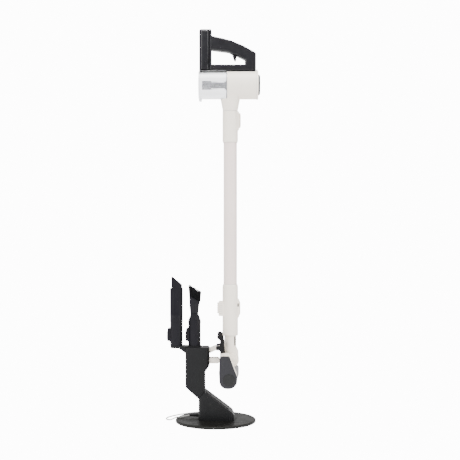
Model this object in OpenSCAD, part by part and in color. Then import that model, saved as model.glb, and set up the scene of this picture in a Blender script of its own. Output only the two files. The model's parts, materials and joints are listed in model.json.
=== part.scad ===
// Cordless stick vacuum docked on a weighted floor stand with two spare tools and a charging lead.
// Millimetres. The origin is the centre of the stand's underside, +Z is up along the wand,
// +X points from the tool arm towards the back of the handle, the floor head runs along Y.

/* [Stand] */
// Radius of the round weighted base plate
base_radius = 110; // [106:1:125]
// Thickness of the base plate above its rubber feet
base_thick = 7.5; // [6:0.5:7.5]
// Number of outer rubber feet
foot_count = 6; // [4:1:8]

/* [Floor head] */
// Overall width of the floor head from end cap to end cap
head_width = 230; // [210:2:260]
// Number of bristle strips on the brush roll
strip_count = 4; // [3:1:6]

/* [Wand] */
// Visible length of wand tube between the two collars
wand_length = 388; // [340:1:420]
// Outer diameter of the wand tube
wand_diameter = 36.6; // [34:0.2:36.6]

/* [Hand unit] */
// Diameter of the motor housing
housing_diameter = 76.4; // [74:0.2:76.4]
// Height of the removable battery above its tray
battery_height = 111; // [96:1:115]
// Number of blades on the suction impeller
blade_count = 9; // [7:1:11]

/* [Hidden] */
$fn = 64;

gap = 0.3;
black = [0.20, 0.20, 0.22];
bronze = [0.29, 0.29, 0.28];
ivory = [0.91, 0.89, 0.86];
grey = [0.55, 0.55, 0.57];
steel = [0.72, 0.72, 0.74];
brass = [0.80, 0.66, 0.36];
clear = [0.92, 0.93, 0.95, 0.45];

// Where the main axes sit
base_top = 1.5 + base_thick;
wand_x = 40;
lift = wand_length - 388;
body_z = 925;
pivot = [46, 172.5];
roll = [34.4, 133.8];
roll_radius = 19.8;
core_radius = 13.5;
motor_axis = [28, 173.2];
brush_motor_radius = 12.4;
hub = [36.4, 132.6];
wheel = [11, 238];
bar = [5.2, 206];
bar_radius = 3;
half_head = head_width / 2;
cap = 12;
crevice_x = -108;
brush_x = -58.3;
tool_z = 210;
tool_radius = 17;
tool_wall = 2.2;
peg_radius = 14.2;

// Outline helpers: rounded corners built from short arcs
function unit(v) = v / norm(v);
function corner(a, b, c, r, n) =
  let(u = unit(a - b), v = unit(c - b))
  let(half = acos(max(-1, min(1, u * v))) / 2)
  let(m = b + unit(u + v) * r / sin(half), s = b + u * r / tan(half), e = b + v * r / tan(half))
  let(t0 = atan2(s.y - m.y, s.x - m.x), t1 = atan2(e.y - m.y, e.x - m.x))
  let(d = t1 - t0, turn = d > 180 ? d - 360 : (d < -180 ? d + 360 : d))
  [for (i = [0:n]) m + r * [cos(t0 + turn * i / n), sin(t0 + turn * i / n)]];
function soft(p, r, n = 5) =
  let(k = len(p))
  [for (i = [0:k - 1]) each
    let(q = is_list(r) ? r[i] : r)
    q <= 0 ? [p[i]] : corner(p[(i + k - 1) % k], p[i], p[(i + 1) % k], q, n)];
function box_outline(x0, x1, y0, y1) = [[x0, y0], [x1, y0], [x1, y1], [x0, y1]];

// Side outlines are drawn in X and Z and given a span along Y
module yspan(y0, y1) {
  translate([0, y1, 0])
    rotate([90, 0, 0])
      linear_extrude(y1 - y0)
        children();
}
// End outlines are drawn in Y and Z and given a span along X
module xspan(x0, x1) {
  translate([x0, 0, 0])
    rotate([90, 0, 90])
      linear_extrude(x1 - x0)
        children();
}
module zspan(z0, z1) {
  translate([0, 0, z0])
    linear_extrude(z1 - z0)
      children();
}
module ycyl(p, r, y0, y1) {
  yspan(y0, y1)
    translate(p)
      circle(r);
}
module xcyl(x0, x1, r, z = body_z, y = 0) {
  translate([x0, y, z])
    rotate([0, 90, 0])
      cylinder(h = x1 - x0, r = r);
}
module zcyl(x, y, r, z0, z1) {
  translate([x, y, z0])
    cylinder(h = z1 - z0, r = r);
}
module block(x0, x1, y0, y1, z0, z1) {
  translate([x0, y0, z0])
    cube([x1 - x0, y1 - y0, z1 - z0]);
}

// ---------------------------------------------------------------- stand
screw_spots = [[-34, -23], [-34, 23], [39, -23], [39, 23]];

module base_plate() {
  r = base_radius;
  color(bronze)
    difference() {
      rotate_extrude($fn = 128)
        polygon([[0, 1.5], [r - 1.2, 1.5], [r, 2.7], [r, base_top - 1.8], [r - 1.8, base_top], [0, base_top]]);
      for (p = screw_spots) {
        zcyl(p.x, p.y, 2, 1, base_top + 1);
        zcyl(p.x, p.y, 4.5, 1, 4);
      }
    }
}

module base_feet() {
  color(black) {
    cylinder(h = 1.5, r = 28);
    for (i = [0:foot_count - 1])
      rotate(30 + i * 360 / foot_count)
        zcyl(base_radius - 15, 0, 7, 0, 1.5);
  }
}

module stand_screws() {
  color(steel)
    for (p = screw_spots) {
      zcyl(p.x, p.y, 4.5, 1.6, 4);
      zcyl(p.x, p.y, 2, 4, base_top + 12);
    }
}

ramp_top = [-28.6, 86.8];
ramp_end = [46, 31];
foot_side = [[-46.5, base_top], [51, base_top], [51, 22], ramp_end, ramp_top, [-46.5, 67.5]];
foot_side_in = [[-44, 0], [48.5, 0], [48.5, 21], [44.2, 29.2], [-28.8, 83.6], [-44, 67.3]];

module foot_shell() {
  color(black)
    difference() {
      union() {
        difference() {
          intersection() {
            yspan(-40, 40)
              polygon(soft(foot_side, [0, 0, 4, 6, 0, 0]));
            zspan(0, 100)
              polygon(soft(box_outline(-46.5, 51, -35, 35), 16));
          }
          intersection() {
            yspan(-40, 40)
              polygon(foot_side_in);
            zspan(-1, 100)
              polygon(soft(box_outline(-44, 48.5, -32.5, 32.5), 13.5));
          }
        }
        for (p = screw_spots)
          zcyl(p.x, p.y, 5, base_top, base_top + 14);
      }
      for (p = screw_spots)
        zcyl(p.x, p.y, 2, base_top - 1, base_top + 12);
      // seat of the cord gland in the left wall
      xcyl(-50, -40, 5, 16, 12);
      // wiring way up into the pillar
      intersection() {
        yspan(-22, 22)
          polygon([[-43, 66], [-32, 78], [-40, 90], [-55, 76]]);
        block(-60, -20, -22, 22, 60, 100);
      }
    }
}

pillar_side = [
  [-46.5, 67.5], ramp_top, [-29, 140], [-17.1, 157.4], [-17.1, 207], [-82.4, 207], [-82.4, 99.4]
];
pillar_side_in = [
  [-46.1, 68], [-31.6, 83.6], [-32, 141], [-20.1, 158.4], [-20.1, 204], [-79.4, 204], [-79.4, 100.7]
];

module pillar_shell() {
  color(black)
    difference() {
      intersection() {
        yspan(-25, 25)
          polygon(soft(pillar_side, [0, 0, 5, 5, 4, 4, 8]));
        zspan(60, 210)
          polygon(soft(box_outline(-82.4, -17.1, -25, 25), 7));
      }
      intersection() {
        yspan(-22, 22)
          polygon(pillar_side_in);
        zspan(60, 210)
          polygon(soft(box_outline(-79.4, -20.1, -22, 22), 4));
      }
      // way down into the foot
      yspan(-21, 21)
        polygon([[-43, 71.3], [-31.8, 83.3], [-36, 90], [-48, 76]]);
      // seats of the dock tongue and the contact wires
      block(-24, -15, -5, 5, 190, 200);
    }
}

// Raised cover plate lying on the ramp
ramp_way = unit(ramp_end - ramp_top);
ramp_out = [-ramp_way.y, ramp_way.x];
module ramp_cover() {
  a = ramp_top + ramp_way * 5;
  b = ramp_top + ramp_way * 80;
  color(bronze)
    difference() {
      yspan(-24, 24)
        polygon([a, b, b + ramp_out * 1.4, a + ramp_out * 1.4]);
      // shallow finger recess near the upper end
      yspan(-9, 9)
        polygon([
          a + ramp_way * 6 + ramp_out * 0.8, a + ramp_way * 16 + ramp_out * 0.8,
          a + ramp_way * 16 + ramp_out * 3, a + ramp_way * 6 + ramp_out * 3
        ]);
    }
}

arm_side = [
  [-124, 204], [-100, 204], [-82.4, 191], [-82.4, 207], [-40, 207], [-40, tool_z], [-124, tool_z]
];
module tool_arm() {
  color(black)
    difference() {
      union() {
        intersection() {
          yspan(-18, 18)
            polygon(soft(arm_side, [3, 6, 0, 0, 0, 1.5, 1.5]));
          zspan(185, 215)
            polygon(soft(box_outline(-124, -40, -18, 18), [14, 8, 8, 14]));
        }
        // pegs that the spare tools are pushed onto
        for (x = [crevice_x, brush_x]) {
          zcyl(x, 0, peg_radius, tool_z - 1, 246);
          translate([x, 0, 246])
            cylinder(h = 4, r1 = peg_radius, r2 = peg_radius - 2.2);
        }
      }
      for (x = [crevice_x, brush_x])
        zcyl(x, 0, peg_radius - 3.5, tool_z + 2, 252);
    }
}

// Tongue with an upward notch that carries the floor head's crossbar
module dock_bracket() {
  color(ivory)
    difference() {
      union() {
        yspan(-11, 11)
          polygon(soft([
            [-17.1, 190], [0, 198.4], [10.2, 199.2], [10.2, 210], [-2, 210], [-17.1, 204]
          ], [0, 4, 2, 1, 3, 0]));
        block(-24, -17.1, -5, 5, 190, 200);
      }
      ycyl(bar, bar_radius + gap, -12, 12);
      block(bar.x - bar_radius - gap, bar.x + bar_radius + gap, -12, 12, bar.y, 215);
    }
}

// Lower rest for the underside of the floor head, with the charging contacts in it
contact_radius = 2.2;
module dock_pad() {
  color(ivory)
    difference() {
      yspan(-16, 16)
        polygon(soft([[-17.1, 163], [5, 163], [10.4, 165], [10.4, 175], [5, 177], [-17.1, 177]], [0, 2, 2, 2, 2, 0]));
      for (y = [-8, 8])
        xcyl(-1, 12, contact_radius, 170, y);
    }
}

module charge_contacts() {
  color(brass)
    for (y = [-8, 8])
      xcyl(-1, 10.65, contact_radius, 170, y);
}

// ---------------------------------------------------------------- charging lead
lead_r = 1.75;
coil_at = [2, 158];
coil_mean = 20;
lead_way = [
  [-72, 12, 16], [-84, 12, 14], [-97, 12, 10.9], [-107, 12.5, 10.8], [-116, 13.5, 7],
  [-125, 16, 2.9], [-133, 22, 1.85], [-138, 34, 1.85], [-136, 50, 1.85], [-128, 66, 1.85],
  [-115, 83, 1.85], [-98, 100, 1.85], [-78, 115, 1.85], [-55, 127, 1.85], [-32, 133, 1.85],
  [-12, 134.3, 1.85], [4, 134.3, 2.6]
];
tail_way = [[4, 181.7, 9.6], [-8, 181.7, 9.8], [-20, 181.7, 10]];

// Smooth curve through hand-set points, two steps per span
function curve_at(a, b, c, d, t) =
  0.5 * (2 * b + (c - a) * t + (2 * a - 5 * b + 4 * c - d) * t * t + (3 * b - a - 3 * c + d) * t * t * t);
function curve(p, steps = 2) =
  let(k = len(p) - 1)
  [
    for (i = [0:k - 1], s = [0:steps - 1])
      curve_at(p[max(0, i - 1)], p[i], p[i + 1], p[min(k, i + 2)], s / steps),
    p[k]
  ];
function ring(p, way, r, n) =
  let(side = unit(cross(way, [0, 0, 1])))
  let(up = cross(side, way))
  [for (j = [0:n - 1]) p + r * (cos(j * 360 / n) * side + sin(j * 360 / n) * up)];
module tube(points, r, n = 8) {
  c = curve(points);
  k = len(c);
  rings = [
    for (i = [0:k - 1]) each ring(c[i], unit(c[min(k - 1, i + 1)] - c[max(0, i - 1)]), r, n)
  ];
  polyhedron(
    rings,
    [
      [for (j = [0:n - 1]) j],
      for (i = [0:k - 2], j = [0:n - 1]) each [
        [i * n + j, (i + 1) * n + j, i * n + (j + 1) % n],
        [i * n + (j + 1) % n, (i + 1) * n + j, (i + 1) * n + (j + 1) % n]
      ],
      [for (j = [n - 1:-1:0]) (k - 1) * n + j]
    ]
  );
}

// Strain relief that leaves the left wall of the foot
module cord_gland() {
  color(black) {
    xcyl(-46.5, -42, 5, 16, 12);
    translate([-46.5, 12, 16])
      rotate([0, -90, 0])
        cylinder(h = 26, r1 = 4.2, r2 = 2.3);
  }
}

module cord_lead() {
  color([0.75, 0.75, 0.73]) {
    tube(lead_way, lead_r);
    tube(tail_way, lead_r);
  }
}

coil_section = soft(box_outline(coil_mean - 5.5, coil_mean + 5.5, 0.8, 11.4), 2, 3);
module cord_coil() {
  color([0.75, 0.75, 0.73])
    translate(coil_at)
      rotate_extrude()
        polygon(coil_section);
}

// Two straps round the coil
module cord_tie() {
  color(black)
    for (a = [-12, 200])
      translate(coil_at)
        rotate(a)
          rotate_extrude(angle = 20)
            difference() {
              polygon(soft(box_outline(coil_mean - 6.3, coil_mean + 6.3, 0, 12.2), 2.6, 3));
              polygon(coil_section);
            }
}

module adapter_body() {
  color(black) {
    difference() {
      zspan(0, 27)
        polygon(soft(box_outline(-50, -27, 152, 192), 4));
      for (x = [-44.85, -32.15])
        block(x - 0.75, x + 0.75, 186, 200, 10.3, 16.7);
    }
    translate([-27, 181.7, 10])
      rotate([0, 90, 0])
        cylinder(h = 9, r1 = 3.4, r2 = 2.3);
  }
}

module plug_pins() {
  color(brass)
    for (x = [-44.85, -32.15])
      block(x - 0.75, x + 0.75, 186, 208, 10.3, 16.7);
}

// ---------------------------------------------------------------- spare tools
// Latch boss and key share one shape on both tools
module tool_latch_boss(x) {
  yspan(-8, 8)
    polygon([[x - 16, 219], [x - 19.6, 224], [x - 19.6, 256], [x - 16, 263], [x - 12, 263], [x - 12, 219]]);
}
module tool_latch_pocket(x) {
  block(x - 30, x - 17.2, -6.4, 6.4, 222.7, 258.8);
}
module tool_latch_key(x, out) {
  yspan(-6.1, 6.1)
    polygon(soft([
      [x - out + 2, 223], [x - out, 228], [x - out, 247], [x - out + 3, 258.5], [x - 18.6, 258.5], [x - 18.6, 223]
    ], [1, 3, 3, 1, 0, 0]));
}

module crevice_outer(t) {
  x = crevice_x;
  w = tool_radius + 0.4 - t;
  zcyl(x, 0, tool_radius - t, tool_z + gap, 288);
  // round socket flattening into the nozzle
  intersection() {
    zcyl(x, 0, w, 280, 302);
    xspan(x - 20, x + 20)
      polygon([[-w, 280], [w, 280], [8.5 - t, 302], [-8.5 + t, 302]]);
  }
  // flat nozzle with a narrower slanted tip
  intersection() {
    zspan(290, 402)
      polygon(soft(box_outline(x - w, x + w, -8.5 + t, 8.5 - t), 5));
    yspan(-20, 20)
      polygon([
        [x - w, 292], [x + w, 292], [x + w, 367 - t], [x + 15.2 - t, 368.5 - t], [x + 15.2 - t, 377],
        [x - 11.6 + t, 399.5], [x - 13.4 + t, 398], [x - 13.4 + t, 368.5 - t], [x - w, 367 - t]
      ]);
  }
}

module crevice_tool() {
  x = crevice_x;
  color(black)
    difference() {
      union() {
        crevice_outer(0);
        zcyl(x, 0, tool_radius + 0.6, 276, 283);
        tool_latch_boss(x);
      }
      crevice_outer(tool_wall);
      zcyl(x, 0, tool_radius - tool_wall, 200, 280);
      // slanted mouth
      yspan(-6.3, 6.3)
        polygon([[x - 11.2, 364], [x + 12.8, 364], [x + 12.8, 384], [x - 9, 405], [x - 11.2, 405]]);
      tool_latch_pocket(x);
    }
}

module crevice_latch() {
  color(black)
    tool_latch_key(crevice_x, 25.8);
}

// Side outline of the flared brush head
module brush_head_side(t) {
  polygon([
    [-68.2 + t, 293], [-48.6 - t, 293], [-45.8 - t, 322], [-42.9 - t, 331 - t], [-71.9 + t, 348 - t], [-71.2 + t, 322]
  ]);
}
module brush_tool_outer(t) {
  x = brush_x;
  r = tool_radius - t;
  zcyl(x, 0, r, tool_z + gap, 279.4);
  intersection() {
    zcyl(x, 0, r, 279, 298);
    yspan(-20, 20)
      polygon([[x - r, 279], [x + r, 279], [x + 9.6 - t, 298], [x - 9.6 + t, 298]]);
  }
  intersection() {
    yspan(-30, 30)
      brush_head_side(t);
    xspan(-80, -35)
      polygon([[-12.5 + t, 290], [12.5 - t, 290], [22 - t, 322], [22 - t, 350], [-22 + t, 350], [-22 + t, 322]]);
  }
}

module brush_tool() {
  x = brush_x;
  color(black)
    difference() {
      union() {
        brush_tool_outer(0);
        zcyl(x, 0, tool_radius + 0.6, 272, 278);
        tool_latch_boss(x);
      }
      brush_tool_outer(tool_wall);
      zcyl(x, 0, tool_radius - tool_wall, 200, 270);
      // open mouth inside the bristle ring
      yspan(-16, 16)
        polygon([[-64, 330], [-52, 327], [-51, 340], [-63, 350]]);
      tool_latch_pocket(x);
    }
}

// Ring of bristles standing on the slanted rim
module brush_tool_bristles() {
  color(black)
    difference() {
      yspan(-21.4, 21.4)
        polygon([[-71.6, 347.85], [-43.2, 331.2], [-41.5, 358], [-73.4, 377.2]]);
      yspan(-16, 16)
        polygon([[-66, 340], [-49, 328], [-48, 370], [-67, 385]]);
    }
}

module brush_tool_latch() {
  color(black)
    tool_latch_key(brush_x, 24.6);
}

// ---------------------------------------------------------------- floor head
head_round = [20, 22.4, 12, 5, 8, 30];
module head_side(t) {
  q = [
    [12.6 + t, 109.6 + t], [58.4 - t, 109.6 + t], [58.6 - t, 138 - t * 0.18],
    [37.6 - t * 0.7, 194.4 - t], [12 + t, 194.4 - t], [10 + t, 150]
  ];
  polygon(soft(q, [for (r = head_round) max(1, r - t)], 7));
}

module head_shell() {
  e = half_head - cap;
  color(ivory)
    difference() {
      union() {
        yspan(-e, e)
          difference() {
            head_side(1);
            head_side(3.5);
            // mouth of the brush chamber, open below and in front
            translate([-20, 90])
              square([51, 68]);
            // bed of the sole plate
            translate([0, 150])
              square([14.5, 41]);
          }
        // ears that carry the neck trunnions
        for (y = [-28, 24.5])
          yspan(y, y + 3.5)
            polygon(soft([
              [26, 160.8], [50, 160.8], [55, 166], [55, 180], [50, 184], [34, 188], [26, 186]
            ], [2, 4, 4, 4, 3, 3, 2]));
      }
      // pocket for the swinging neck
      ycyl(pivot, 17.9, -24.3, 24.3);
      block(pivot.x, 80, -24.3, 24.3, 155, 220);
      block(22.9, 80, -24.3, 24.3, 174, 220);
      ycyl(pivot, 4.05, -40, 40);
    }
}

module head_sole() {
  e = half_head - cap;
  color(black)
    difference() {
      union() {
        yspan(-e, e) {
          intersection() {
            head_side(1);
            translate([0, 158])
              square([14.5, 33]);
          }
          intersection() {
            head_side(3.5);
            translate([0, 158])
              square([80, 2.5]);
          }
        }
        // saddle of the brush motor
        block(16.5, 39.5, 36, 88, 160, 167);
      }
      ycyl(motor_axis, brush_motor_radius, 30, 95);
      ycyl(pivot, 17.9, -24.3, 24.3);
      for (y = [-8, 8])
        block(10, 12.2, y - 4, y + 4, 162, 176);
    }
}

module head_contacts() {
  color(brass)
    for (y = [-8, 8])
      block(11, 12.2, y - 4, y + 4, 162, 176);
}

// Raised crest in front of the neck
module head_crest() {
  color(grey)
    difference() {
      yspan(-20, 20)
        polygon(soft([[50, 121], [59, 121], [63.5, 134], [63.5, 150], [60, 154], [50, 154]], [0, 3, 5, 3, 1, 0]));
      yspan(-30, 30)
        head_side(1);
    }
}

// One end cap, far side positive
module end_cap(far) {
  a = half_head;
  mirror([0, far ? 0 : 1, 0]) {
    difference() {
      yspan(a - cap, a)
        head_side(0);
      yspan(a - cap - 1, a - 2.5)
        head_side(3);
    }
    // bearing boss of the brush roll
    difference() {
      ycyl(roll, 6, a - 4.5, a - 2.4);
      ycyl(roll, 3.05, a - 6, a - 2.5);
    }
  }
}
module end_cap_near() {
  color(black)
    end_cap(false);
}
module end_cap_far() {
  color(black)
    end_cap(true);
}

module hub_covers() {
  color([0.16, 0.16, 0.17])
    for (s = [0, 1])
      mirror([0, s, 0])
        ycyl(hub, 15.5, half_head, half_head + 1.2);
}

module brush_motor() {
  color(steel)
    difference() {
      ycyl(motor_axis, brush_motor_radius, 36, 88);
      ycyl(motor_axis, brush_motor_radius - 2, 38, 86);
      ycyl(motor_axis, 2.05, 85, 89);
    }
}

// Belt that runs round the motor pulley and the pulley end of the brush roll
belt_span = norm(motor_axis - roll);
belt_turn = atan2(motor_axis.y - roll.y, motor_axis.x - roll.x);
// Outline round a circle of radius a at the roll and b at the motor
function belt_loop(a, b) =
  let(t = acos((a - b) / belt_span))
  [
    for (i = [0:20]) let(q = belt_turn + t + i * (360 - 2 * t) / 20) roll + a * [cos(q), sin(q)],
    for (i = [0:16]) let(q = belt_turn - t + i * 2 * t / 16) motor_axis + b * [cos(q), sin(q)]
  ];
module drive_belt() {
  color(black)
    yspan(half_head - 9.4, half_head - 5.2)
      difference() {
        polygon(belt_loop(10.6, 6.6));
        polygon(belt_loop(9.3, 5.3));
      }
}

// Armature inside the brush motor, its shaft and the belt pulley turn as one
module motor_pulley() {
  color(steel) {
    ycyl(motor_axis, brush_motor_radius - 2.6, 40, 84);
    ycyl(motor_axis, 2, 84, half_head - 10);
    ycyl(motor_axis, 6.8, half_head - 10.6, half_head - 10);
    ycyl(motor_axis, 5, half_head - 10, half_head - 4.8);
  }
}

module brush_core() {
  color(grey) {
    ycyl(roll, core_radius, 1 + cap - half_head, half_head - cap - 1);
    ycyl(roll, 3, 3.5 - half_head, half_head - 3.5);
    ycyl(roll, 9, half_head - 13.2, half_head - 5);
  }
}

module brush_bristles() {
  e = half_head - cap - 2;
  color([0.35, 0.36, 0.4])
    for (i = [0:strip_count - 1])
      translate([roll.x, 0, roll.y])
        rotate([0, i * 360 / strip_count, 0])
          difference() {
            block(9, roll_radius, -e, e, -2, 2);
            ycyl([0, 0], core_radius, -e - 1, e + 1);
          }
}

// Two arms behind the head that carry the small rear wheels
module rear_yoke() {
  color(black)
    difference() {
      for (y = [-33, 27])
        yspan(y, y + 6)
          polygon(soft([
            [12.5, 184], [27, 184], [25.4, 204], [22.5, 224], [21, 243], [7, 243], [4.6, 235], [12, 227], [13, 214],
            [9, 211.5], [1.2, 211.5], [1.2, 200.5], [9, 200.5], [12.5, 197]
          ], [0, 0, 8, 8, 4, 4, 3, 4, 3, 2, 3, 3, 2, 2]));
      yspan(-60, 60)
        head_side(1);
      ycyl(wheel, 2, -50, 50);
    }
}

// Crossbar that hangs in the dock, and the axle of the rear wheels
module yoke_rods() {
  color(steel) {
    ycyl(bar, bar_radius, -27, 27);
    ycyl(wheel, 2, -41, 41);
  }
}

module rear_wheels() {
  color([0.13, 0.13, 0.13])
    for (y = [-40, 33.3])
      difference() {
        ycyl(wheel, 6.8, y, y + 6.7);
        ycyl(wheel, 2.05, y - 1, y + 8);
      }
}

// ---------------------------------------------------------------- neck and wand
module slit(r) {
  translate([wand_x, 0, 0])
    rotate(-38)
      block(15, r, -3, 3, 211, 236);
}

module neck_elbow() {
  color(ivory)
    difference() {
      union() {
        ycyl(pivot, 17.5, -24, 24);
        ycyl(pivot, 4, -27.9, 27.9);
        intersection() {
          yspan(-16.4, 16.4)
            polygon([
              [30, 176.5], [23.6, 199], [23.6, 206], [56.4, 206], [62, 195], [62.6, 178], [46, 172]
            ]);
          zspan(165, 210)
            polygon(soft(box_outline(23.6, 64, -16.4, 16.4), 12));
        }
        zcyl(wand_x, 0, 16.4, 199, 238);
        zcyl(wand_x, 0, 14.5, 237, 262);
      }
      zcyl(wand_x, 0, 11.5, 176, 263);
      zcyl(41.5, 0, 9, 150, 178);
      slit(20);
    }
}

module neck_slit_trim() {
  color([0.1, 0.1, 0.11])
    slit(16.3);
}

module wand_tube() {
  r = wand_diameter / 2;
  color(ivory)
    translate([wand_x, 0, 0])
      difference() {
        zcyl(0, 0, r, 266, 883.7 + lift);
        zcyl(0, 0, r - 1.8, 265, 885 + lift);
      }
}

module lower_collar() {
  r = wand_diameter / 2;
  color(ivory)
    difference() {
      union() {
        translate([wand_x, 0, 0])
          rotate_extrude()
            polygon([[0, 238.3], [20.2, 238.3], [21.2, 239.5], [21.2, 370], [20.6, 375], [19, 379], [0, 379]]);
        // bed and cheeks of the pedal
        block(18, 24, -12.8, 12.8, 292, 332);
        for (y = [-12.8, 10.4])
          yspan(y, y + 2.4)
            polygon(soft([[8, 293], [20, 292], [20, 332], [8, 331]], [2, 0, 0, 2]));
        block(10, 20, -12.8, 12.8, 292, 295.2);
        block(10, 20, -12.8, 12.8, 328.5, 332);
        // bed of the side latch
        yspan(-9, 9)
          polygon(soft([[54, 286], [61, 286], [65, 291], [65, 335], [61, 340], [54, 340]], [0, 1, 2, 2, 1, 0]));
      }
      zcyl(wand_x, 0, 14.8, 238, 263);
      zcyl(wand_x, 0, r - 1.8, 262, 267);
      zcyl(wand_x, 0, r, 266, 380);
      block(61, 70, -6.4, 6.4, 294.2, 332.4);
    }
}

module release_pedal() {
  color(ivory)
    difference() {
      yspan(-10, 10)
        polygon(soft([[17.6, 299.5], [17.6, 328], [4.1, 328], [4.1, 299.5]], [0, 0, 2, 2]));
      for (i = [0:3])
        yspan(-11, 11)
          translate([3, 303 + i * 6.2])
            square([2.4, 3]);
    }
}

module side_key(z0, z1, x0, x1) {
  yspan(-6.1, 6.1)
    polygon(soft([[x0, z0], [x1 - 1.5, z0], [x1, z0 + 6], [x1, z1 - 6], [x1 - 1.5, z1], [x0, z1]], [0, 1, 3, 3, 1, 0]));
}
module lower_latch() {
  color(ivory)
    side_key(294.5, 332, 62.9, 67.7);
}

module upper_collar() {
  r = wand_diameter / 2;
  color(ivory)
    translate([0, 0, lift])
      difference() {
        union() {
          translate([wand_x, 0, 0])
            rotate_extrude()
              polygon([[0, 767], [19.4, 767], [21.1, 772], [21.1, 853], [20.4, 854], [0, 854]]);
          yspan(-9, 9)
            polygon(soft([[54, 800], [61, 800], [64.5, 805], [64.5, 850], [62, 853], [54, 853]], [0, 1, 2, 2, 1, 0]));
        }
        zcyl(wand_x, 0, r, 760, 860);
        block(61, 72, -6.4, 6.4, 807.7, 848.4);
      }
}

module upper_latch() {
  color(ivory)
    translate([0, 0, lift])
      side_key(808, 848, 62.9, 69);
}

// ---------------------------------------------------------------- hand unit
housing_r = housing_diameter / 2;
battery_top = 966.3 + battery_height;
module hand() {
  translate([0, 0, lift])
    children();
}

module motor_housing() {
  color(ivory)
    hand()
      difference() {
        union() {
          difference() {
            union() {
              xcyl(31.6, 111.4, housing_r);
              translate([wand_x, 0, 854.3])
                cylinder(h = 35.7, r1 = 20.3, r2 = 27.2);
              zcyl(wand_x, 0, 27.2, 890, 906);
            }
            xcyl(34.2, 112, housing_r - 2.5);
          }
          // duct and socket floor standing inside the housing
          intersection() {
            block(31.6, 61, -15, 15, 880, 914);
            xcyl(31.6, 70, housing_r - 1);
          }
        }
        // clearance under the dust cup
        block(0, 31.6, -40, 40, 886.4, 930);
        zcyl(wand_x, 0, 18.6, 850, 884);
        // duct from the socket to the cup
        block(33, 58, -12.5, 12.5, 883, 911);
        block(30, 34, -12.5, 12.5, 896, 911);
        // way of the cleaned air
        xcyl(30, 36, 7, body_z);
        block(38, 54, 37, 42, 919, 931);
      }
}

module cup_release() {
  color(black)
    hand()
      difference() {
        block(38.4, 48, 37.3, 39.6, 919.4, 930.6);
        for (x = [40.5, 43, 45.5])
          block(x, x + 1, 39, 42, 918, 932);
      }
}

module housing_tail() {
  color(ivory)
    hand() {
      difference() {
        xcyl(111.4, 116.6, housing_r + 0.7);
        xcyl(111, 117, 28.5, 926);
      }
      block(111.4, 115, -8, 8, 962.6, 967.5);
    }
}

module exhaust_cover() {
  color(black)
    hand()
      difference() {
        union() {
          xcyl(112, 118, 28.5, 926);
          translate([118, 0, 926])
            rotate([0, 90, 0])
              cylinder(h = 3.8, r1 = 28.5, r2 = 26);
        }
        xcyl(110, 119.5, 24, 926);
        // outlet slots
        for (i = [0:8])
          block(118, 123, -19 + abs(i - 4) * 2, 19 - abs(i - 4) * 2, 906.4 + i * 4.6, 908.8 + i * 4.6);
      }
}

module motor_stator() {
  color(steel)
    hand()
      difference() {
        union() {
          xcyl(76, 106, 24);
          xcyl(84, 87, housing_r - 2.5);
        }
        xcyl(75, 103, 12.4);
        xcyl(100, 107, 3.05);
        for (i = [0:5])
          translate([0, 0, body_z])
            rotate([i * 60, 0, 0])
              xcyl(83, 88, 3.6, 29.5);
      }
}

module fan_rotor() {
  color(grey)
    hand()
      translate([0, 0, body_z]) {
        xcyl(65, 105.5, 3, 0);
        xcyl(77, 102, 12, 0);
        xcyl(71.5, 73.5, 22, 0);
        for (i = [0:blade_count - 1])
          rotate([i * 360 / blade_count, 0, 0])
            block(65.8, 72, -0.7, 0.7, 2.4, 20);
      }
}

// Rounded slab between two side faces
module slab(p, w) {
  hull() {
    yspan(-w, w)
      offset(delta = -4)
        polygon(p);
    yspan(1.2 - w, w - 1.2)
      offset(delta = -1.2)
        polygon(p);
    yspan(4 - w, w - 4)
      polygon(p);
  }
}

module handle_frame() {
  color(black)
    hand()
      difference() {
        union() {
          slab([[-17, 1022], [-17, 1061], [7, 1055], [42, 1047], [42, 1014]], 15);
          slab([[30, 1049.7], [42, 1047], [62, 1038.4], [62, 1006.6], [53.6, 1006], [42, 1015], [30, 1018]], 15);
          slab([[52, 1042.7], [77, 1032], [90, 1024.7], [90, 992], [80.6, 994], [66.8, 1005], [60, 1007], [52, 1008]], 15);
          slab([[79.6, 1030.5], [108, 1014.5], [110.6, 1011], [110.6, 968], [107, 963.8], [80.6, 963.8], [79.6, 1000]], 15);
          slab([[-17, 963.8], [110.6, 963.8], [110.6, 980.7], [-17, 980.7]], 15);
          // spine behind the battery, as tall as the battery
          intersection() {
            yspan(-16, 16)
              polygon(soft([[-17, 966], [-11.3, 966], [-11.3, battery_top], [-17, battery_top]], [0, 0, 5.5, 0]));
            zspan(965, battery_top)
              polygon(soft([[-17, -16], [-11.3, -16], [-11.3, 16], [-17, 16]], [0, 4, 4, 0]));
          }
          // tray under the battery
          block(-45, -14, -15, 15, 963.8, 966);
          // saddle on the motor housing
          block(35, 108, -12, 12, 955, 966);
        }
        xcyl(20, 130, housing_r);
        block(40, 59.5, -6.5, 6.5, 995, 1031);
        block(13.6, 26.4, -5.4, 5.4, 1047, 1065);
        ycyl([50, 1021], 2.3, -10.4, 10.4);
      }
}

module trigger() {
  color(grey)
    hand()
      union() {
        yspan(-6, 6)
          polygon(soft([
            [43.5, 1026], [57, 1026], [57.5, 1004], [55.5, 992], [52.5, 990.5], [50, 995], [45.5, 1008]
          ], [2, 2, 6, 2, 1.5, 3, 8]));
        ycyl([50, 1021], 2, -10, 10);
      }
}

module mode_button() {
  color(grey)
    hand()
      intersection() {
        block(14, 26, -5, 5, 1048.4, 1060);
        yspan(-6, 6)
          polygon([[10, 1040], [30, 1040], [30, 1051.6], [10, 1056]]);
      }
}

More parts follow.
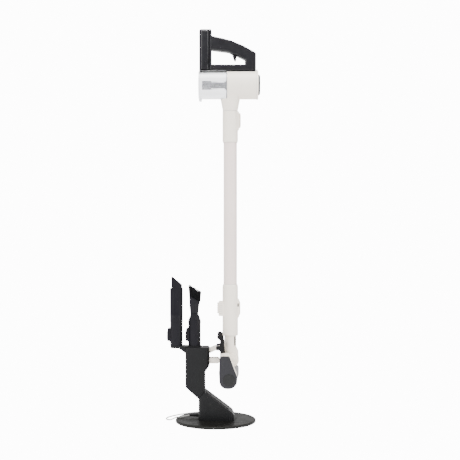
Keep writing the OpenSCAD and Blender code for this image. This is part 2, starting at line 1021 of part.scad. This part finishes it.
module battery_pack() {
  top = battery_top;
  color(black)
    hand()
      difference() {
        intersection() {
          zspan(966.3, top)
            polygon(soft(box_outline(-45, -17.3, -21, 21), 9));
          yspan(-22, 22)
            polygon(soft([[-45, 960], [-17.3, 960], [-17.3, top], [-45, top]], [0, 0, 1.5, 7]));
          xspan(-50, -10)
            polygon(soft([[-21, 960], [21, 960], [21, top], [-21, top]], [0, 0, 10, 10]));
        }
        battery_bay();
        block(-30.8, -20.7, -23, -17.6, 979.7, 994.3);
      }
}

module battery_bay() {
  top = battery_top;
  difference() {
    zspan(969, top - 3)
      polygon(soft(box_outline(-42.4, -19.5, -18.8, 18.8), 8));
    block(-34, -17, -25, -16.4, 976, 998);
  }
}

// Two pairs of round cells, one above the other
module battery_cells() {
  color(steel)
    hand()
      for (y = [-8.1, 8.1], i = [0, 1])
        zcyl(-31, y, 8, 969 + i * 52, 969 + i * 52 + min(51, battery_height / 2 - 6));
}

module battery_latch() {
  color(grey)
    hand()
      difference() {
        block(-30.5, -21, -21.9, -19.4, 980, 994);
        for (z = [983, 986.5, 990])
          block(-32, -20, -23, -21.4, z, z + 1.2);
      }
}

module dust_cup() {
  color(clear)
    hand() {
      difference() {
        union() {
          xcyl(-42, 31.3, 38);
          yspan(-7.5, -4.4) {
            cup_lug();
          }
          yspan(4.4, 7.5) {
            cup_lug();
          }
        }
        xcyl(-43, 32, 36);
        ycyl([-41, 883.3], 1.25, -10, 10);
      }
    }
}
module cup_lug() {
  translate([-41, 883.3])
    circle(2.8);
  translate([-41.9, 883.3])
    square([3.6, 4.8]);
}

module cup_lid() {
  color(clear)
    hand()
      difference() {
        union() {
          xcyl(-46, -42.3, 38.3);
          xcyl(-47, -46, 36.5);
          yspan(-4, 4) {
            translate([-41, 883.3])
              circle(2.7);
            translate([-46, 881.6])
              square([3.7, 7]);
            translate([-46, 881.2])
              square([5, 3]);
          }
          ycyl([-41, 883.3], 1.2, -7.2, 7.2);
        }
        xcyl(-44.5, -42, 34);
      }
}

module cyclone_shroud() {
  color(grey)
    hand()
      difference() {
        xcyl(-37.7, -12.9, 12);
        xcyl(-36.2, -14.4, 10.6);
        xcyl(-15, -12, 6);
        // rows of air holes
        for (x = [-33, -25.3, -17.6], a = [0:45:315])
          translate([0, 0, body_z])
            rotate([a, 0, 0])
              translate([x, 0, 9])
                cylinder(h = 5, r = 1.6);
      }
}

module cyclone_core() {
  color(grey)
    hand()
      difference() {
        union() {
          xcyl(-12.9, 24, 8);
          for (x = [-12.9, -7.8, -2.7, 2.4])
            xcyl(x, x + 1.6, 11.5);
          translate([22, 0, body_z])
            rotate([0, 90, 0])
              cylinder(h = 7, r1 = 8, r2 = 13);
          xcyl(29, 31.6, 35.7);
        }
        xcyl(-14, 32, 6);
        block(28, 33, -12.5, 12.5, 896, 909);
      }
}

// ---------------------------------------------------------------- assembly
base_plate();
base_feet();
foot_shell();
pillar_shell();
ramp_cover();
tool_arm();
dock_bracket();
dock_pad();
charge_contacts();
stand_screws();
cord_gland();
cord_lead();
cord_coil();
cord_tie();
adapter_body();
plug_pins();
crevice_tool();
crevice_latch();
brush_tool();
brush_tool_bristles();
brush_tool_latch();
head_shell();
head_sole();
end_cap_near();
end_cap_far();
hub_covers();
brush_motor();
drive_belt();
head_contacts();
head_crest();
rear_yoke();
yoke_rods();
rear_wheels();
brush_core();
brush_bristles();
motor_pulley();
neck_elbow();
neck_slit_trim();
wand_tube();
lower_collar();
upper_collar();
release_pedal();
lower_latch();
upper_latch();
motor_housing();
housing_tail();
exhaust_cover();
handle_frame();
trigger();
mode_button();
battery_pack();
battery_cells();
battery_latch();
dust_cup();
cup_lid();
cup_release();
cyclone_shroud();
cyclone_core();
motor_stator();
fan_rotor();
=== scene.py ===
import json
import math
import random

import bmesh
import bpy
from mathutils import Matrix, Vector


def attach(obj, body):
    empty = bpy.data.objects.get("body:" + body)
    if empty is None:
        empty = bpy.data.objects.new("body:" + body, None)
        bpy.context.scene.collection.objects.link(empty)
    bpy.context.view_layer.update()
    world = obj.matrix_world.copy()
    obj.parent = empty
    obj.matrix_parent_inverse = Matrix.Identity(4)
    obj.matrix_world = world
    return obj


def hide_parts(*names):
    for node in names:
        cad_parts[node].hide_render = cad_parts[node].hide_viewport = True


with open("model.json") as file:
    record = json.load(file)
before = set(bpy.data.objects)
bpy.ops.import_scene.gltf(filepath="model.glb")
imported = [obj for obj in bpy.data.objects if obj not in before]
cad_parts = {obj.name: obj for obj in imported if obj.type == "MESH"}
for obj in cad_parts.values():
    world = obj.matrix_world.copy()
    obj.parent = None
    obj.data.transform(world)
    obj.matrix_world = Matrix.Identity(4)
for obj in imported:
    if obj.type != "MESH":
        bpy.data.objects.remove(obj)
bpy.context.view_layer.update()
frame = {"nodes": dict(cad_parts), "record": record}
NODES = frame["nodes"]
SLOT = {s["node"]: s["material_slot"] for s in frame["record"]["subparts"]}
MM = 0.001
random.seed(11)

# ------------------------------------------------------------------ camera
EYE = (0.0393, -2.561, 0.5275)
cam_data = bpy.data.cameras.new("camera")
cam_data.sensor_width = 36.0
cam_data.lens = 72.9
cam_data.clip_end = 30.0
camera = bpy.data.objects.new("camera", cam_data)
camera.location = EYE
camera.rotation_euler = (math.radians(90), 0, 0)
bpy.context.scene.collection.objects.link(camera)
bpy.context.scene.camera = camera


def new_object(name, data):
    obj = bpy.data.objects.new(name, data)
    bpy.context.scene.collection.objects.link(obj)
    return obj


# ------------------------------------------------------------------ charging lead
LEAD_D = 3.5 * MM
# Centre line of the lead from the gland to the coil, and from the coil to the adapter
LEAD_WAY = [
    (-72, 12, 16), (-84, 12, 14), (-97, 12, 10.9), (-107, 12.5, 10.8), (-116, 13.5, 7),
    (-125, 16, 2.9), (-133, 22, 1.85), (-138, 34, 1.85), (-136, 50, 1.85), (-128, 66, 1.85),
    (-115, 83, 1.85), (-98, 100, 1.85), (-78, 115, 1.85), (-55, 127, 1.85), (-32, 133, 1.85),
    (-12, 134.3, 1.85),
]
TAIL_WAY = [(-8, 181.75, 9.7), (-20, 181.7, 10), (-24, 181.7, 10)]
COIL_AT = Vector((2, 158, 0))
COIL_OUT, COIL_IN = 23.75, 16.25
LAYERS = (2.6, 6.1, 9.6)
STEPS_PER_TURN = 32


def through(points, steps=4):
    """Smooth curve through given points."""
    p = [Vector(q) for q in points]
    last = len(p) - 1
    out = []
    for i in range(last):
        a, b, c, d = p[max(0, i - 1)], p[i], p[i + 1], p[min(last, i + 2)]
        for s in range(steps):
            t = s / steps
            out.append(0.5 * (2 * b + (c - a) * t + (2 * a - 5 * b + 4 * c - d) * t * t
                              + (3 * b - a - 3 * c + d) * t ** 3))
    return out + [p[last]]


def coil_points():
    """In along the bottom layer, out along the middle one, half a turn on top."""
    low, middle, top = LAYERS
    # turns, radius from and to, height from and to
    spans = [
        (2, COIL_OUT, COIL_IN, low, low),
        (1, COIL_IN, COIL_IN, low, middle),
        (2, COIL_IN, COIL_OUT, middle, middle),
        (1, COIL_OUT, COIL_OUT, middle, top),
        (0.5, COIL_OUT, COIL_OUT, top, top),
    ]
    out, turn = [], -0.25
    for count, r0, r1, z0, z1 in spans:
        n = int(count * STEPS_PER_TURN)
        for i in range(n):
            f = i / n
            a = 2 * math.pi * (turn + f * count)
            r, z = r0 + (r1 - r0) * f, z0 + (z1 - z0) * f
            out.append(COIL_AT + Vector((r * math.cos(a), r * math.sin(a), z)))
        turn += count
    return out


def poly_curve(name, points, radius, resolution=3):
    data = bpy.data.curves.new(name, "CURVE")
    data.dimensions = "3D"
    data.bevel_depth = 1.0
    data.bevel_resolution = resolution
    data.use_fill_caps = True
    spline = data.splines.new("POLY")
    spline.points.add(len(points) - 1)
    for q, p in zip(spline.points, points):
        q.co = (*p, 1.0)
        q.radius = radius
    return new_object(name, data)


coil = coil_points()
lead_points = [p * MM for p in through(LEAD_WAY + [tuple(coil[0])])[:-1] + coil + through(TAIL_WAY)]
lead = poly_curve("charging_lead", lead_points, LEAD_D / 2)
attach(lead, "stand")
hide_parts("cord_lead", "cord_coil")


# ------------------------------------------------------------------ bristles
FIBRE_R = 0.5 * MM
TIP_TAPER = 0.62
FIBRE_STEPS = 2


def fibre_mesh(name, fibres, sides):
    """One mesh of thin tapered fibres, each a root, a tip and a sideways bow."""
    steps = FIBRE_STEPS
    verts, faces = [], []
    for root, tip, bow in fibres:
        way = (tip - root).normalized()
        side = way.cross(Vector((0.3, 0.7, 0.2))).normalized()
        up = way.cross(side)
        first = len(verts)
        for k in range(steps + 1):
            f = k / steps
            mid = root.lerp(tip, f) + bow * f * f
            r = FIBRE_R * (1.0 - TIP_TAPER * f)
            for j in range(sides):
                a = 2 * math.pi * j / sides
                verts.append(mid + side * r * math.cos(a) + up * r * math.sin(a))
        for k in range(steps):
            for j in range(sides):
                a, b = first + k * sides + j, first + k * sides + (j + 1) % sides
                faces.append((a, b, b + sides, a + sides))
        faces.append(tuple(first + j for j in range(sides))[::-1])
        faces.append(tuple(first + steps * sides + j for j in range(sides)))
    mesh = bpy.data.meshes.new(name)
    mesh.from_pydata([tuple(v) for v in verts], [], faces)
    for poly in mesh.polygons:
        poly.use_smooth = True
    return new_object(name, mesh)


def jitter(size):
    return Vector([random.uniform(-size, size) for _ in range(3)])


TUFT_ROWS, TUFT_COLUMNS = 12, 19
FIBRES_PER_TUFT = 8


def ring_fibres():
    """Tufts on the slanted rim of the dusting tool, round its open mouth."""
    left, right = Vector((-71.0, 0, 347.2)), Vector((-43.9, 0, 331.4))
    half, hole = 20.6, 15.4
    spots = []
    for i in range(TUFT_ROWS):
        for j in range(TUFT_COLUMNS):
            f, g = i / (TUFT_ROWS - 1), -1 + 2 * j / (TUFT_COLUMNS - 1)
            if 0.2 < f < 0.8 and abs(g * half) < hole:
                continue
            spots.append(left.lerp(right, f) + Vector((0, g * half, 0)))
    out = []
    for spot in spots:
        f = (spot.x - left.x) / (right.x - left.x)
        tall = 29.2 - 2.4 * f + random.uniform(-1.2, 0.6)
        lean = Vector((-1.6 + 3.6 * f, spot.y * 0.03, 0))
        for _ in range(FIBRES_PER_TUFT):
            root = spot + Vector((random.uniform(-0.8, 0.8), random.uniform(-0.8, 0.8), -0.6))
            tip = root + lean + Vector((0, 0, tall + random.uniform(-1.5, 0.6))) + jitter(0.9)
            out.append((root * MM, tip * MM, jitter(0.5) * MM))
    return out


ROLL_AT = Vector((34.4, 0, 133.8))
ROLL_HALF = 100.5
ROLL_CORE_R = 13.5
ROLL_REACH = 19.5
STRIPS = 4
TUFTS_PER_STRIP = 101
STRIP_TWIST = 62


def on_roll(radius, angle, y):
    return ROLL_AT + Vector((radius * math.cos(angle), y, radius * math.sin(angle)))


def roll_fibres():
    """Strips of tufts that wind along the brush roll."""
    out = []
    for strip in range(STRIPS):
        for i in range(TUFTS_PER_STRIP):
            y = -ROLL_HALF + i * 2 * ROLL_HALF / (TUFTS_PER_STRIP - 1)
            turn = math.radians(strip * 360 / STRIPS + STRIP_TWIST * abs(y) / ROLL_HALF)
            for row in (-1.3, 0.0, 1.3):
                a = turn + row / ROLL_CORE_R + random.uniform(-0.03, 0.03)
                lay = a + random.uniform(-0.05, 0.05)
                root = on_roll(ROLL_CORE_R - 0.2, a, y + random.uniform(-0.7, 0.7))
                reach = ROLL_REACH - random.uniform(0, 0.5)
                tip = on_roll(reach, lay, root.y + random.uniform(-0.6, 0.6))
                out.append((root * MM, tip * MM, Vector((0, 0, 0))))
    return out


tool_bristles = fibre_mesh("tool_fibres", ring_fibres(), 4)
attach(tool_bristles, "brush_tool")
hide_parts("brush_tool_bristles")
roll_bristles = fibre_mesh("roll_fibres", roll_fibres(), 3)
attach(roll_bristles, "brush_roll")
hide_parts("brush_bristles")


# ------------------------------------------------------------------ joint lines of painted shade
def seam_shade_ring(name, body, centre, axis, radius, half=0.28, proud=0.12):
    """Thin grey band round a joint between two mouldings: painted shade standing in for the shade in
    the gap.
    """
    turns, verts, faces = 96, [], []
    section = ((-1.2, -half), (proud, -half), (proud, half), (-1.2, half))
    for i in range(turns):
        a = 2 * math.pi * i / turns
        for out, along in section:
            r = (radius + out) * MM
            u, v, w = r * math.cos(a), r * math.sin(a), along * MM
            verts.append((u, v, w) if axis == "Z" else (w, u, v))
    for i in range(turns):
        for j in range(4):
            a, b = i * 4 + j, i * 4 + (j + 1) % 4
            c, d = (i + 1) % turns * 4 + (j + 1) % 4, (i + 1) % turns * 4 + j
            faces.append((a, b, c, d))
    mesh = bpy.data.meshes.new(name)
    mesh.from_pydata([tuple(Vector(v) + Vector(centre) * MM) for v in verts], [], faces)
    obj = new_object(name, mesh)
    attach(obj, body)
    return obj


# Grey rings at the joints: painted shade lines where the gaps between mouldings fall into shade
SEAM_SHADES = [
    seam_shade_ring("seam_collar_top", "wand", (40, 0, 853.7), "Z", 20.7),
    seam_shade_ring("seam_collar_foot", "wand", (40, 0, 767.3), "Z", 19.5),
    seam_shade_ring("seam_lower_top", "wand", (40, 0, 378.7), "Z", 19.1),
    seam_shade_ring("seam_lower_foot", "wand", (40, 0, 238.9), "Z", 20.7),
    seam_shade_ring("seam_tail", "hand_unit", (111.4, 0, 925), "X", 38.4),
]


# ------------------------------------------------------------------ small fittings
def solid_piece(name, body, *solids):
    """One mesh of boxes and of discs that face along Y, in millimetres."""
    bm = bmesh.new()
    for kind, centre, size in solids:
        at = Matrix.Translation(Vector(centre) * MM)
        if kind == "box":
            scale = Matrix.Diagonal((*[v * MM for v in size], 1.0))
            bmesh.ops.create_cube(bm, size=1.0, matrix=at @ scale)
        else:
            radius, depth = (v * MM for v in size)
            lie = Matrix.Rotation(math.radians(90), 4, "X")
            bmesh.ops.create_cone(
                bm, cap_ends=True, segments=40, radius1=radius, radius2=radius, depth=depth,
                matrix=at @ lie,
            )
    mesh = bpy.data.meshes.new(name)
    bm.to_mesh(mesh)
    bm.free()
    obj = new_object(name, mesh)
    edge = obj.modifiers.new("edges", "BEVEL")
    edge.width = 0.12 * MM
    edge.segments = 2
    edge.limit_method = "ANGLE"
    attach(obj, body)
    return obj


BOTH_SIDES = (-1, 1)
PEDAL_RIBS = 6
wheel_caps = solid_piece(
    "wheel_caps", "rear_wheels", *[("disc", (11, s * 41.2, 238), (3.6, 1.2)) for s in BOTH_SIDES],
)
pedal_ribs = solid_piece("pedal_ribs", "wand", *[
    ("box", (13.8, s * 12.85, 298.5 + i * 5.4), (9.6, 0.4, 0.7))
    for s in BOTH_SIDES for i in range(PEDAL_RIBS)
])
# A dark box on each side of the lower latch: painted shade standing in for its slot
latch_slot_shade = solid_piece(
    "latch_slot_shade", "wand", *[("box", (61.6, s * 9.0, 322.0), (3.6, 0.3, 9.0)) for s in BOTH_SIDES],
)
# Thin grey lines along each side of the upper latch: painted shade in the gap round it
latch_gap_shade = solid_piece("upper_latch_gap_shade", "wand", *[
    ("box", (61.2, s * 9.0, 828.0), (0.5, 0.3, 38.0)) for s in BOTH_SIDES
])


# ------------------------------------------------------------------ materials
def shader(name, colour, rough=0.5, metal=0.0, **sockets):
    mat = bpy.data.materials.new(name)
    mat.use_nodes = True
    bsdf = mat.node_tree.nodes["Principled BSDF"]
    bsdf.inputs["Base Color"].default_value = (*colour, 1.0)
    bsdf.inputs["Roughness"].default_value = rough
    bsdf.inputs["Metallic"].default_value = metal
    for key, value in sockets.items():
        bsdf.inputs[key.replace("_", " ")].default_value = value
    return mat, mat.node_tree, bsdf


def noise(tree, scale, detail=3.0, stretch=(1, 1, 1)):
    nodes, links = tree.nodes, tree.links
    coord = nodes.new("ShaderNodeTexCoord")
    mapping = nodes.new("ShaderNodeMapping")
    mapping.inputs["Scale"].default_value = stretch
    tex = nodes.new("ShaderNodeTexNoise")
    tex.inputs["Scale"].default_value = scale
    tex.inputs["Detail"].default_value = detail
    links.new(coord.outputs["Object"], mapping.inputs["Vector"])
    links.new(mapping.outputs["Vector"], tex.inputs["Vector"])
    return tex


def ramp(tree, source, low, high):
    node = tree.nodes.new("ShaderNodeValToRGB")
    node.color_ramp.elements[0].position = 0.35
    node.color_ramp.elements[1].position = 0.65
    node.color_ramp.elements[0].color = (*low, 1.0)
    node.color_ramp.elements[1].color = (*high, 1.0)
    tree.links.new(source.outputs["Fac"], node.inputs["Fac"])
    return node


def shade(colour, k):
    return tuple(min(1.0, c * k) for c in colour)


# Specular level of dull, satin and ordinary plastics
DULL, SATIN, FULL = 0.13, 0.26, 0.5


def plastic(name, colour, rough, shine=FULL, grain=900.0, depth=0.06, spread=0.05):
    """Moulded plastic: soft mottling, uneven gloss and a fine grain, its depth in millimetres."""
    mat, tree, bsdf = shader(name, colour, rough, Specular_IOR_Level=shine)
    broad = noise(tree, 14.0)
    tone = ramp(tree, broad, shade(colour, 1 - spread), shade(colour, 1 + spread))
    tree.links.new(tone.outputs["Color"], bsdf.inputs["Base Color"])
    wear = noise(tree, 60.0, 5.0)
    gloss = ramp(tree, wear, (rough * 0.85,) * 3, (min(1.0, rough * 1.15),) * 3)
    tree.links.new(gloss.outputs["Color"], bsdf.inputs["Roughness"])
    fine = noise(tree, grain, 2.0)
    bump = tree.nodes.new("ShaderNodeBump")
    bump.inputs["Strength"].default_value = 0.35
    bump.inputs["Distance"].default_value = depth * MM
    tree.links.new(fine.outputs["Fac"], bump.inputs["Height"])
    tree.links.new(bump.outputs["Normal"], bsdf.inputs["Normal"])
    return mat


def metal(name, colour, rough, stretch):
    """Turned or drawn metal with fine lines along one way."""
    mat, tree, bsdf = shader(name, colour, rough, 1.0)
    lines = noise(tree, 220.0, 4.0, stretch)
    gloss = ramp(tree, lines, (rough * 0.7,) * 3, (min(1.0, rough * 1.4),) * 3)
    tree.links.new(gloss.outputs["Color"], bsdf.inputs["Roughness"])
    tone = ramp(tree, lines, shade(colour, 0.9), shade(colour, 1.06))
    tree.links.new(tone.outputs["Color"], bsdf.inputs["Base Color"])
    return mat


def clear(name, tint, rough=0.04):
    """Clear polycarbonate."""
    mat, tree, bsdf = shader(
        name, tint, rough, Transmission_Weight=1.0, IOR=1.46, Alpha=1.0,
    )
    haze = noise(tree, 40.0, 4.0)
    gloss = ramp(tree, haze, (rough * 0.6,) * 3, (rough * 2.2,) * 3)
    tree.links.new(gloss.outputs["Color"], bsdf.inputs["Roughness"])
    return mat


# Maker, slot, colour and roughness; then shine, grain, its depth and the spread of tone
RECIPES = (
    (plastic, "base_coat", (0.0070, 0.0068, 0.0060), 0.42, DULL, 500.0, 0.03, 0.06),
    (plastic, "foot_rubber", (0.010, 0.010, 0.0105), 0.8, DULL, 700.0),
    (plastic, "stand_plastic", (0.0068, 0.0068, 0.0074), 0.42, DULL, 900.0, 0.06, 0.08),
    (plastic, "ramp_coat", (0.0150, 0.0150, 0.0160), 0.42, DULL, 900.0, 0.06, 0.08),
    (plastic, "soft_pad", (0.010, 0.010, 0.011), 0.85, DULL, 600.0),
    (metal, "contact_brass", (0.80, 0.60, 0.28), 0.28, (1, 1, 1)),
    (metal, "bare_steel", (0.30, 0.30, 0.31), 0.3, (1, 0.05, 1)),
    (plastic, "lead_jacket", (0.36, 0.36, 0.34), 0.5, FULL, 800.0),
    (plastic, "tool_plastic", (0.0050, 0.0046, 0.0068), 0.38, DULL, 900.0, 0.06, 0.06),
    (plastic, "bristle", (0.0035, 0.0035, 0.0045), 0.6, DULL),
    (plastic, "roll_bristle", (0.030, 0.033, 0.042), 0.7, DULL),
    (plastic, "ivory_shell", (0.860, 0.790, 0.690), 0.40, FULL, 900.0, 0.03, 0.012),
    (plastic, "ivory_tube", (0.815, 0.690, 0.640), 0.34, FULL, 900.0, 0.02, 0.012),
    (plastic, "dark_plastic", (0.0115, 0.0110, 0.0140), 0.42, SATIN, 900.0, 0.06, 0.06),
    (plastic, "hub_black", (0.0050, 0.0050, 0.0054), 0.4, SATIN),
    (plastic, "grey_trim", (0.24, 0.24, 0.25), 0.4),
    (plastic, "roll_core", (0.10, 0.10, 0.11), 0.5),
    (plastic, "handle_plastic", (0.0052, 0.0048, 0.0066), 0.32, SATIN, 900.0, 0.06, 0.08),
    (clear, "clear_plastic", (0.945, 0.95, 0.96)),
    (plastic, "mesh_grey", (0.21, 0.21, 0.225), 0.45, SATIN, 900.0, 0.06, 0.05),
    (metal, "motor_alloy", (0.45, 0.46, 0.48), 0.35, (1, 1, 1)),
)
MATERIALS = {name: make(name, *values) for make, name, *values in RECIPES}


def use(obj, slot):
    obj.data.materials.clear()
    obj.data.materials.append(MATERIALS[slot])


PIECES = {
    "lead_jacket": [lead],
    "bristle": [tool_bristles],
    "roll_bristle": [roll_bristles],
    "grey_trim": [*SEAM_SHADES, pedal_ribs, latch_gap_shade],
    "foot_rubber": [wheel_caps],
    "hub_black": [latch_slot_shade],
}
for piece_slot, pieces in PIECES.items():
    for piece in pieces:
        use(piece, piece_slot)

# Edge rounding in millimetres, by node
ROUND = {
    "handle_frame": 2.6, "end_cap_near": 2.2, "end_cap_far": 2.2, "battery_pack": 1.6,
    "pillar_shell": 1.6, "foot_shell": 1.4, "trigger": 1.2, "tool_arm": 0.8,
    "motor_housing": 0.8, "release_pedal": 0.8, "base_plate": 0.5, "crevice_tool": 0.5,
    "dust_cup": 0.3, "battery_cells": 0.3, "cord_lead": 0, "cord_coil": 0, "brush_bristles": 0,
}
USUAL_ROUND = 0.4
SHARP_FROM = math.radians(34)


def finish_node(name, obj):
    """The node's material, smooth faces and rounded edges."""
    use(obj, SLOT[name])
    for poly in obj.data.polygons:
        poly.use_smooth = True
    width = ROUND.get(name, USUAL_ROUND)
    weld = obj.modifiers.new("weld", "WELD")
    weld.merge_threshold = 0.01 * MM
    if width:
        bevel = obj.modifiers.new("edges", "BEVEL")
        bevel.width = width * MM
        bevel.segments = 3
        bevel.limit_method = "ANGLE"
        bevel.angle_limit = SHARP_FROM
    normals = obj.modifiers.new("normals", "WEIGHTED_NORMAL")
    normals.keep_sharp = True


for node_name, node_obj in NODES.items():
    finish_node(node_name, node_obj)


# ------------------------------------------------------------------ floor and light
# Half the floor in metres
REACH = 12
SKY_LIGHT = 1.0
BACKDROP = 13.0
FLOOR_GLOW = 0.75
SEEN_THROUGH = 0.2


def seen_ray(tree):
    """1 for rays that reach the eye directly, less for those through the clear cup."""
    path = tree.nodes.new("ShaderNodeLightPath")
    add = tree.nodes.new("ShaderNodeMath")
    add.operation = "MULTIPLY_ADD"
    add.use_clamp = True
    add.inputs[1].default_value = SEEN_THROUGH
    tree.links.new(path.outputs["Is Transmission Ray"], add.inputs[0])
    tree.links.new(path.outputs["Is Camera Ray"], add.inputs[2])
    return add.outputs[0]


floor_mesh = bpy.data.meshes.new("floor")
corners = [(x * REACH, y * REACH, 0) for x, y in ((-1, -1), (1, -1), (1, 1), (-1, 1))]
floor_mesh.from_pydata(corners, [], [(0, 1, 2, 3)])
floor = new_object("floor", floor_mesh)
floor_mat, floor_tree, floor_bsdf = shader(
    "floor_white", (0.9, 0.9, 0.9), 0.7,
    Emission_Color=(1.0, 1.0, 1.0, 1.0), Emission_Strength=FLOOR_GLOW,
)
white = floor_tree.nodes.new("ShaderNodeEmission")
white.inputs["Strength"].default_value = BACKDROP
floor_mix = floor_tree.nodes.new("ShaderNodeMixShader")
floor_tree.links.new(seen_ray(floor_tree), floor_mix.inputs["Fac"])
floor_tree.links.new(floor_bsdf.outputs["BSDF"], floor_mix.inputs[1])
floor_tree.links.new(white.outputs["Emission"], floor_mix.inputs[2])
floor_tree.links.new(floor_mix.outputs["Shader"], floor_tree.nodes["Material Output"].inputs["Surface"])
floor_mesh.materials.append(floor_mat)

world = bpy.data.worlds.new("studio")
world.use_nodes = True
sky_tree = world.node_tree
sky = sky_tree.nodes["Background"]
sky.inputs["Color"].default_value = (1.0, 1.0, 1.0, 1.0)
sky.inputs["Strength"].default_value = SKY_LIGHT
backdrop = sky_tree.nodes.new("ShaderNodeBackground")
backdrop.inputs["Color"].default_value = (1.0, 1.0, 1.0, 1.0)
backdrop.inputs["Strength"].default_value = BACKDROP
sky_mix = sky_tree.nodes.new("ShaderNodeMixShader")
sky_tree.links.new(seen_ray(sky_tree), sky_mix.inputs["Fac"])
sky_tree.links.new(sky.outputs["Background"], sky_mix.inputs[1])
sky_tree.links.new(backdrop.outputs["Background"], sky_mix.inputs[2])
sky_tree.links.new(sky_mix.outputs["Shader"], sky_tree.nodes["World Output"].inputs["Surface"])
bpy.context.scene.world = world


def area(name, place, target, size, power):
    data = bpy.data.lights.new(name, "AREA")
    data.shape = "RECTANGLE"
    data.size, data.size_y = size
    data.energy = power
    obj = new_object(name, data)
    obj.location = place
    obj.rotation_euler = (Vector(target) - Vector(place)).to_track_quat("-Z", "Y").to_euler()
    return obj


area("key", (-1.6, -2.2, 2.4), (0, 0, 0.55), (1.3, 1.6), 125.0)
area("fill", (2.6, -1.3, 1.5), (0, 0, 0.6), (0.9, 2.0), 62.0)
area("top", (0.25, -0.5, 3.0), (0.05, 0, 0.6), (1.3, 1.3), 95.0)
